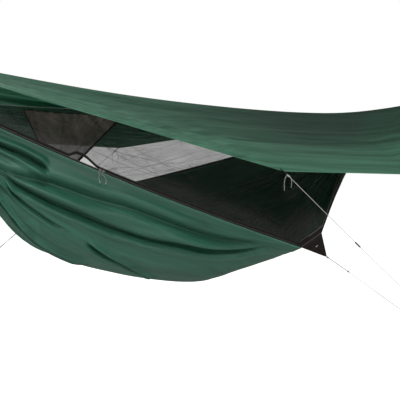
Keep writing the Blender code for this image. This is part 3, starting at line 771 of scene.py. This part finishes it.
def make_fly(mat):
    step, clear = 0.0115, 0.008
    marks = [corner[0] for corner in (FLY_FAR_HEAD, FLY_FAR_MID, FLY_NEAR_MID, FLY_NEAR_FOOT)]
    marks = [FLY_HEAD[0] + clear, *marks, FLY_FOOT[0] - clear]
    spans = [np.linspace(a, b, max(3, int((b - a) / step))) for a, b in zip(marks, marks[1:])]
    xs = np.unique(np.concatenate(spans))
    ks = np.concatenate([-np.linspace(1, 0, 90)[:-1], shares(90)])
    rows = []
    for x in xs:
        top = vec(x, 0, profile(FLY_RIDGE, x))
        near, far = fly_edge(x, -1), fly_edge(x, 1)
        a = np.abs(ks)[:, None]
        edge = np.where((ks < 0)[:, None], near, far)
        sag = 0.035 * 4 * a * (1 - a) * np.minimum(1.0, np.abs(edge[:, 1:2]) / 0.9)
        rows.append(top + (edge - top) * a - sag * UP)
    rows = np.array(rows)
    x, k = np.meshgrid(xs, ks, indexing="ij")
    a = np.abs(k)
    inner = ease(a, 0.0, 0.12) * ease(1 - a, 0.0, 0.1)
    long = a + 0.05 * np.sin(1.8 * x + 2 * a)
    side = np.where(k < 0, 0.0, 0.43)
    folds = 0.0046 * wave(5.5 * long + 0.3 * x + side) * (1 - 0.8 * ease(x, 0.5, 0.95))
    folds += 0.0062 * wave(11.5 * long - 0.5 * x + side) * (1 - ease(x, -0.2, 0.6))
    folds += 0.0048 * humps(13 * long + 0.7 * x) ** 0.6 * (1 - ease(x, -0.6, 0.3))
    folds += 0.002 * ripple(x * 0.8, a * 6, 31) * (1 - 0.85 * ease(x, 0.7, 1.1))
    fan = np.exp(-((FLY_FOOT[0] - np.abs(x)) / 0.55) ** 2)
    folds += np.where(x > 0, 0.002, 0.006) * fan * wave(4 * a + 0.2)
    rows = rows + normals_of(rows) * (folds * inner)[..., None]
    uv = cloth_uv(rows, from_middle=True)
    fly = grid_mesh("fly_cloth", rows, uv, mat, "suspension")
    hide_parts("rain_fly")


# ---- tapes and bindings

def strip(name, lows, highs, mat, bulge=0.0):
    """A narrow band of cloth between two lines, slightly rounded."""
    lows, highs = np.array(lows), np.array(highs)
    k = shares(5)[None, :, None]
    rows = lows[:, None] * (1 - k) + highs[:, None] * k
    if bulge:
        rows = rows + normals_of(rows) * bulge * 4 * k * (1 - k)
    grid_mesh(name, rows, cloth_uv(rows), mat, "hammock")


def make_zip(mats):
    """Two tapes along the cloth's near edge and the net's hem, and the coil between them."""
    xs = np.linspace(-NET_HALF, NEAR_SEAM_LOW[0], 220)
    lows = [near_edge(x) + UP * 0.0005 for x in xs]
    strip("zip_tape_low", lows, [p + UP * 0.0085 for p in lows], mats["tape"])
    highs = [net_low(x, -1) + UP * 0.004 for x in xs]
    strip("zip_tape_high", [p - UP * 0.0165 for p in highs], highs, mats["tape"])
    line = [near_edge(x) + UP * 0.009 for x in np.linspace(-1.12, NEAR_SEAM_LOW[0] - 0.02, 260)]
    coil = cord_curve("zip_coil", line, 0.0021, mats["coil"], "hammock", sides=3)
    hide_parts("zip_chain")


def make_hems(mats):
    """The net's hems where there is no zip, a stitched line over the near one, and the piping."""
    seam = NEAR_SEAM_LOW[0]
    xs = np.linspace(seam, NET_HALF, 140)
    lows = [near_edge(x) - UP * 0.004 for x in xs]
    highs = [near_edge(x) + UP * 0.042 * min(1.0, (1.33 - x) / 0.25) for x in xs]
    strip("near_net_hem", lows, highs, mats["hem"], 0.003)
    stitching = []
    for x in np.linspace(seam + 0.03, 1.15, 60):
        lift = 0.03 + 0.055 * ease(x, seam + 0.03, 0.85) * (1 - ease(x, 0.9, 1.15))
        stitching.append(near_edge(x) + vec(0, -0.006, lift))
    cord_curve("net_seam", stitching, 0.001, mats["seam"], "hammock", sides=2)
    xs = np.linspace(-NET_HALF, NET_HALF, 300)
    lows = [far_edge(x) - UP * 0.002 for x in xs]
    highs = [net_low(x, 1) + UP * 0.001 for x in xs]
    strip("far_net_hem", lows, highs, mats["hem"], 0.002)
    for name, edge, start, end, out in (
        ("near", near_edge, -1.255, seam - 0.01, -0.0042),
        ("far", far_edge, FAR_SEAM_LOW[0] + 0.01, 1.255, 0.0042),
    ):
        line = [edge(x) + vec(0, out, -0.0035) for x in np.linspace(start, end, 200)]
        piping = cord_curve(
            name + "_piping", line, 0.003, mats["binding"], "hammock", sides=3,
        )
        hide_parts(name + "_edge_binding")


# ---- gear pocket

POCKET = np.array(((-0.905, 0, -0.03), (-0.34, 0, -0.037), (-0.655, 0, -0.335), (-0.775, 0, -0.29)))


def pocket_point(s, t):
    """Across the pocket (s) and down it (t)."""
    top = POCKET[0] * (1 - s) + POCKET[1] * s
    low = POCKET[3] * (1 - s) + POCKET[2] * s
    return top * (1 - t) + low * t


def make_pocket(mats):
    rows = []
    s = shares(120)
    for t in shares(70):
        line = pocket_point(s[:, None], t)
        line[:, 2] -= 0.01 * np.sin(np.pi * s) * (1 - t)
        rows.append(line)
    rows = np.array(rows)
    t, across = np.meshgrid(shares(70), s, indexing="ij")
    hold = np.sin(np.pi * across) ** 0.5
    waves = wave(13 * across + 0.6 * np.sin(3 * t + 9 * across))
    ruffle = 0.0045 * waves * (0.45 + 0.55 * np.abs(2 * t - 1))
    ruffle += 0.003 * ripple(across * 9, t * 1.5, 51)
    for name, side in (("pocket_front", -1), ("pocket_back", 1)):
        panel = rows.copy()
        belly = side * hold * (0.006 + 0.01 * np.sin(np.pi * t) ** 0.8)
        panel[..., 1] = belly + (ruffle + 0.001 * side) * hold * ease(1 - t, 0, 0.06)
        cloth = grid_mesh(name, panel, cloth_uv(panel), mats["pocket"], "pocket")
        if side < 0:
            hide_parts("gear_pocket")
    trims = []
    for name, a, b, radius in (
        ("edge_head", (0, 0), (0, 1), 0.004), ("edge_foot", (1, 0), (1, 1), 0.0068),
        ("edge_low", (0, 1), (1, 1), 0.003),
    ):
        across, down = b[0] - a[0], b[1] - a[1]
        points = [pocket_point(a[0] + across * k, a[1] + down * k) for k in shares(24)]
        trims.append((name, points, radius))
    for name, side in (("elastic_front", -1), ("elastic_back", 1)):
        points = []
        for k in shares(60):
            sway = 0.006 * side * math.sin(math.pi * k) ** 0.5
            points.append(pocket_point(k, 0.0) + vec(0, sway, -0.01 * math.sin(math.pi * k)))
        trims.append((name, points, 0.0026))
    for name, points, radius in trims:
        cord_curve("pocket_" + name, points, radius, mats["black"], "pocket", sides=3)


# ---- tie-outs

def around(axis):
    """A function that gives the direction at an angle round an axis."""
    side = unit(np.cross(axis, UP))
    other = np.cross(axis, side)
    return lambda angle: side * math.cos(angle) + other * math.sin(angle)


def knot_coil(name, centre, axis, mats, body, radius, stock, turns=3.5, length=0.01):
    """A small knot: a few wraps of cord round a line."""
    axis = unit(axis)
    out = around(axis)
    points = []
    for k in shares(int(turns * 14)):
        r = radius * (1 - 0.25 * abs(2 * k - 1))
        points.append(centre + axis * length * (k - 0.5) + r * out(2 * math.pi * turns * k))
    return cord_curve(name, points, stock, mats["line"], body, sides=2)


def mesh_tube(name, points, radius, mat):
    """A tube as a mesh, for a cord that runs between two bodies and rides on neither."""
    out = around(unit(points[-1] - points[0]))
    ring = [radius * out(a) for a in np.linspace(0, 2 * math.pi, 11)]
    rows = [[p + r for r in ring] for p in points]
    return grid_mesh(name, rows, cloth_uv(rows), mat, None)


PATCH_EYE = (
    (-0.011, 0.0006), (-0.005, 0.0032), (0.005, 0.0034), (0.012, 0.0),
    (0.005, -0.0034), (-0.005, -0.0032), (-0.011, -0.0006),
)


def make_tie_outs(mats):
    """On each side a triangle of webbing with an eye, and the elastic that is knotted into it."""
    for side, low, high, tie, stake, facing in (
        ("near", NEAR_SEAM_LOW, NEAR_SEAM_HIGH, NEAR_TIE, NEAR_STAKE, 1),
        ("far", FAR_SEAM_LOW, FAR_SEAM_HIGH, FAR_TIE, FAR_STAKE, -1),
    ):
        k = shares(22)
        base = low + (high - low) * k[:, None]
        tip = tie + unit(high - low) * 0.008 * (k[:, None] - 0.5)
        t = shares(30)[None, :, None]
        rows = base[:, None] * (1 - t) + tip[:, None] * t
        bend = 0.004 * np.sin(np.pi * k)[:, None] * np.sin(np.pi * t[..., 0])
        rows = rows + normals_of(rows) * bend[..., None]
        patch = grid_mesh(side + "_patch", rows, cloth_uv(rows), mats["patch"], "hammock")
        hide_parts(side + "_tie_out_patch")
        run = unit(stake - tie)
        shock = line_points(tie + run * 0.004, tie + run * SHOCK_LENGTH, 0.0, 40)
        elastic = mesh_tube(side + "_elastic", shock, SHOCK_R, mats["line"])
        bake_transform(elastic)
        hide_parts(side + "_shock_cord")
        place = Frame(tie, stake - tie)
        eye = smooth([place(x, 0, z) for x, z in PATCH_EYE], 6)
        thin_cord(side + "_patch_eye", eye, 0.0013, mats, "hammock")
        knot_coil(side + "_tie_knot", tie + run * 0.012, run, mats, "hammock", 0.0042, 0.0015)
        joined = tie + run * (SHOCK_LENGTH + 0.004)
        knot_coil(side + "_join_knot", joined, run, mats, "suspension", 0.004, 0.0014)
        middle = (low + high) * 0.32 + tie * 0.36
        face = unit(np.cross(high - low, tie - low))
        face = face * (1 if face @ vec(-0.4, -0.9, 0) * facing > 0 else -1)
        tack = [middle + face * 0.003 + unit(high - low) * d for d in np.linspace(-0.006, 0.006, 6)]
        cord_curve(side + "_bar_tack", tack, 0.0016, mats["tack"], "hammock", sides=2)


def hanging(start, *steps):
    """A smooth route from a start through places given relative to it."""
    return smooth([start] + [start + np.array(step) for step in steps], 8)


def make_tails(mats):
    """Loose ends: two at each knot under the fly's corners, and a pull cord on each zip slider."""
    for side, corner, stake in (("near", FLY_NEAR_MID, NEAR_STAKE), ("far", FLY_FAR_MID, FAR_STAKE)):
        run = unit(stake - corner)
        start = corner + run * 0.026
        knot_coil(side + "_corner_knot", start + run * 0.004, run, mats, "suspension", 0.0038, 0.0014)
        for i, (dx, fall) in enumerate(((-0.016, 0.075), (0.012, 0.06))):
            points = hanging(
                start, (dx * 0.8, -0.004, -0.006), (dx * 1.5, -0.006, -0.5 * fall),
                (dx * 1.2 + 0.004 * (i - 0.5), -0.004, -fall),
            )
            free_cord(f"{side}_corner_tail_{i + 1}", points, 0.001, mats, "suspension", "bare", "hanging")
    for end, lean in (("head", -0.01), ("foot", 0.01)):
        low, high = (np.array(c) + HEAD_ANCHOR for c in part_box("zip_pull_" + end))
        start = vec((low[0] + high[0]) / 2 + 0.002, (low[1] + high[1]) / 2 - 0.001, low[2] + 0.004)
        points = hanging(
            start, (lean * 0.5, -0.005, -0.007), (lean * 1.0, -0.015, -0.024), (lean * 0.7, -0.02, -0.043),
        )
        body = "pull_" + end
        cord = thin_cord("pull_cord_" + end, points, 0.0011, mats, body)
        away = points[-1] - points[-3]
        knot = knot_coil("pull_cord_knot_" + end, points[-1], away, mats, body, 0.0026, 0.0011, 2.5, 0.006)


# ---- gathered ends and suspension

HEAD_LINE = vec(-math.cos(math.radians(33)), 0, math.sin(math.radians(33)))
FOOT_LINE = vec(math.cos(math.radians(12)), 0, math.sin(math.radians(12)))
NECK_START = 1.36
BAR_AT = 0.56
GATHER_SECTIONS = (
    (0.0, 0.024), (0.03, 0.017), (0.055, 0.0135), (0.115, 0.013), (0.125, 0.0155), (0.145, 0.0165),
)
WRAPS, WRAP_R, TAB_LOOP = 16, 0.0145, 0.0475
ROUND_BAR = ((-0.1, 0.0115, 0), (-0.02, 0.0108, 0), (0.0, 0.0106, 0), (0.0078, 0.0078, 0), (0.0106, 0, 0))
ROUND_NECK = ((0.15, 0.0245, -0.003), (0.105, 0.0195, -0.004), (0.09, 0.015, 0.0105), (0.086, 0.0, 0.0185))


class Frame:
    """A place with +X along a direction and +Z as near up as it can be."""

    def __init__(self, origin, along):
        self.origin, self.x = origin, unit(along)
        self.z = unit(UP - self.x * self.x[2])
        self.y = np.cross(self.z, self.x)

    def __call__(self, x, y=0.0, z=0.0):
        return self.origin + self.x * x + self.y * y + self.z * z


def on_rope(side, line, along):
    """A point on the line that an end's suspension rope follows."""
    return vec(side * NECK_START, 0, 0) + line * along


def tie_bar(side, line):
    """Where the fly's tie meets the carabiner."""
    return on_rope(side, line, BAR_AT - 0.012) + UP * 0.016


def make_end(end, line, side, mats):
    """One gathered end: the bunched cloth, its whipping, the rope loop, and the fly's tie."""
    start = vec(side * (BODY_END + 0.006), 0, 0)
    neck = vec(side * NECK_START, 0, line[2] * 0.02)
    place = Frame(start, neck - start)
    rows = []
    radii = smooth(GATHER_SECTIONS, 8)
    angles = np.linspace(0, 2 * math.pi, 181)
    for s in np.linspace(0.012, 0.145, 60):
        r = float(np.interp(s, radii[:, 0], radii[:, 1]))
        flutes = 0.16 * r * (np.abs(np.sin(8.5 * angles + 0.5 * math.sin(30 * s))) - 1.0)
        rows.append([place(s, f * math.cos(a), f * math.sin(a)) for a, f in zip(angles, r + flutes)])
    bunch = grid_mesh(end + "_bunched_cloth", rows, cloth_uv(rows), mats["bunch"], "hammock")
    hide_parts(end + "_gather")
    wrap = []
    for k in shares(WRAPS * 22):
        a = 2 * math.pi * WRAPS * k
        wrap.append(place(0.056 + 0.026 * k, WRAP_R * math.cos(a), WRAP_R * math.sin(a)))
    cord_curve(end + "_whipping", wrap, 0.0009, mats["black"], "hammock", sides=2)
    bar = Frame(on_rope(side, line, BAR_AT), line)
    near_bar = [bar(*p) for p in ROUND_BAR]
    near_neck = [place(*p) for p in ROUND_NECK]
    flip = vec(1, -1, 1)
    loop = near_bar[::-1] + near_neck
    loop += [p * flip for p in near_neck[:-1]][::-1] + [p * flip for p in near_bar[:-1]]
    closed = smooth(loop[-2:] + loop + loop[:3], 8)[16:16 + 8 * len(loop)]
    rope = cord_curve(end + "_rope_loop", closed, 0.003, mats["rope"], "hammock", closed=True)
    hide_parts(end + "_suspension_loop")
    corner = FLY_HEAD if end == "head" else FLY_FOOT
    target = tie_bar(side, line)
    out = unit(target - corner)
    route = line_points(corner + out * TAB_LOOP, target, 0.0015, 24)
    tie = free_cord("fly_tie_cord_" + end, route, 0.0015, mats, "suspension", "object", "taut")
    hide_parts("fly_tie_" + end)
    knot_coil("fly_tie_knot_" + end, route[1], out, mats, "suspension", 0.0036, 0.0013)


def squared(value):
    """A sine or cosine pushed towards -1 or 1, for a section between round and square."""
    return np.sign(value) * abs(value) ** 0.4


LEGS = ((0.014, 0.0055), (0.02, 0.0048), (0.025, 0.0026))
RING_LEGS = ((0.014, 0.0048), (0.022, 0.0046), (0.028, 0.0036))
RING_EYE = (
    (0.05, 0.0012), (0.0455, 0.0033), (0.042, 0.0036), (0.039, 0),
    (0.042, -0.0036), (0.0455, -0.0033), (0.05, -0.0012),
)


def corner_tab(name, corner, toward, inner, mats, ringed=False):
    """A webbing tab sewn over a corner of the fly, with a short cord loop sewn into its end."""
    place = Frame(corner, toward - corner)
    path = [inner, inner * 0.35 + corner * 0.65] + [place(x) for x in (0.004, 0.012, 0.0205)]
    path = smooth(path, 6)
    angles = np.linspace(0, 2 * math.pi, 17)
    rows = []
    for i, p in enumerate(path):
        along = unit(path[min(i + 1, len(path) - 1)] - path[max(i - 1, 0)])
        up = unit(np.cross(along, place.y))
        k = i / (len(path) - 1)
        half = 0.0105 - 0.0015 * k
        thick = 0.0016 * min(1.0, (1 - k) * 8 + 0.05)
        rows.append([
            p + place.y * half * squared(math.cos(a)) + up * thick * squared(math.sin(a)) for a in angles
        ])
    tab = grid_mesh(name + "_webbing", rows, cloth_uv(rows), mats["black"], "suspension")
    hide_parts(name)
    legs, tip = (RING_LEGS, 0.0318) if ringed else (LEGS, 0.027)
    routes = {"_loop": [*legs, (tip, 0)] + [(x, -y) for x, y in legs[::-1]]}
    if ringed:
        routes["_eye"] = RING_EYE
    for end, route in routes.items():
        points = smooth([place(*p) for p in route], 6)
        thin_cord(name + end, points, 0.0012, mats, "suspension")


def make_tabs(mats):
    for name, corner, toward in (
        ("fly_tab_near_mid", FLY_NEAR_MID, NEAR_STAKE), ("fly_tab_far_mid", FLY_FAR_MID, FAR_STAKE),
        ("fly_tab_near_foot", FLY_NEAR_FOOT, FLY_NEAR_FOOT + vec(0.2, -0.6, -0.5)),
        ("fly_tab_far_head", FLY_FAR_HEAD, FLY_FAR_HEAD + vec(-0.2, 0.6, -0.5)),
    ):
        ridge = vec(corner[0], 0, profile(FLY_RIDGE, corner[0]))
        corner_tab(name, corner, toward, corner + unit(ridge - corner) * 0.034, mats)
    for end, corner, line, side in (("head", FLY_HEAD, HEAD_LINE, -1), ("foot", FLY_FOOT, FOOT_LINE, 1)):
        x = corner[0] - side * 0.045
        inner = vec(x, 0, profile(FLY_RIDGE, x) - 0.001)
        corner_tab("fly_tab_" + end, corner, tie_bar(side, line), inner, mats, True)


def make_ridgeline(mats):
    half = HALF_RIDGE - 0.065
    points = [vec(x, 0, ridge_z(x)) for x in np.linspace(-half, half, 60)]
    line = free_cord("ridgeline_cord", points, 0.0015, mats, "hammock", "object", "taut")
    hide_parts("structural_ridgeline")


def dress_cad(mats):
    """Materials of the CAD nodes that stay in view."""
    for name, node in NODES.items():
        if "carabiner" in name or "gate" in name or "fly_ring" in name:
            mat = mats["metal"]
        elif "zip_slider" in name or "zip_pull" in name:
            mat = mats["zip_metal"]
        elif "tensioner" in name or "pocket_ring" in name:
            mat = mats["plastic"]
        elif "knot" in name:
            mat = mats["line"]
        else:
            continue
        for slot in node.material_slots:
            slot.material = mat


# ---- light and floor

WORLD_SEEN, WORLD_LIGHT = 1.0, 0.16
KEY_LIGHT, FILL_LIGHT = 250.0, 200.0
FLOOR_SEEN, FLOOR_GLOW = 1.0, 0.12
FLOOR_REACH = 60.0


def make_studio():
    """A pale floor and world that the camera sees as white, and two lamps."""
    floor = bpy.data.meshes.new("floor")
    z = float(at((0, 0, FLOOR))[2])
    corners = [(x * FLOOR_REACH, y * FLOOR_REACH, z) for x, y in ((-1, -1), (1, -1), (1, 1), (-1, 1))]
    floor.from_pydata(corners, [], [(0, 1, 2, 3)])
    pale = Nodes("pale_floor")
    vector, _ = pale.axes("Object")
    patchy = pale.span(pale.noise(vector, 0.6, 2.0), 0.3, 0.7)
    colour = pale.mix(patchy, (0.92,) * 3, (0.96,) * 3)
    pale.join(colour, pale.shader.inputs["Emission Color"])
    seen = pale.new("ShaderNodeLightPath").outputs["Is Camera Ray"]
    pale.join(pale.span(seen, 0.0, 1.0, FLOOR_GLOW, FLOOR_SEEN), pale.shader.inputs["Emission Strength"])
    floor.materials.append(pale.finish(colour, Roughness=0.95))
    show("floor", floor)
    sky = Nodes("studio", bpy.data.worlds, "Background")
    seen = sky.new("ShaderNodeLightPath").outputs["Is Camera Ray"]
    sky.join(sky.span(seen, 0.0, 1.0, WORLD_LIGHT, WORLD_SEEN), sky.shader.inputs["Strength"])
    sky.join((1.0, 1.0, 1.0), sky.shader.inputs["Color"])
    SCENE.world = sky.mat
    for name, place, size, power in (
        ("key", (-2.4, -2.6, 4.2), 2.2, KEY_LIGHT), ("fill", (-2.6, -5.4, 2.7), 1.2, FILL_LIGHT),
    ):
        lamp = bpy.data.lights.new(name, "AREA")
        lamp.size = size
        lamp.energy = power
        obj = show(name, lamp)
        obj.location = at(place)
        aim = Vector(at((-0.2, 0, -0.4))) - obj.location
        obj.rotation_euler = aim.to_track_quat("-Z", "Y").to_euler()
    SCENE.view_settings.view_transform = "Standard"


# ---- the whole object

MATS = make_materials()
make_camera()
make_guylines(MATS["line"])
make_body(MATS["body"])
make_net("near_netting", -1, MATS["net"])
make_net("far_netting", 1, MATS["net"])
make_fly(MATS["fly"])
make_zip(MATS)
make_hems(MATS)
make_pocket(MATS)
make_tie_outs(MATS)
make_tails(MATS)
make_end("head", HEAD_LINE, -1, MATS)
make_end("foot", FOOT_LINE, 1, MATS)
make_tabs(MATS)
make_ridgeline(MATS)
dress_cad(MATS)
make_studio()
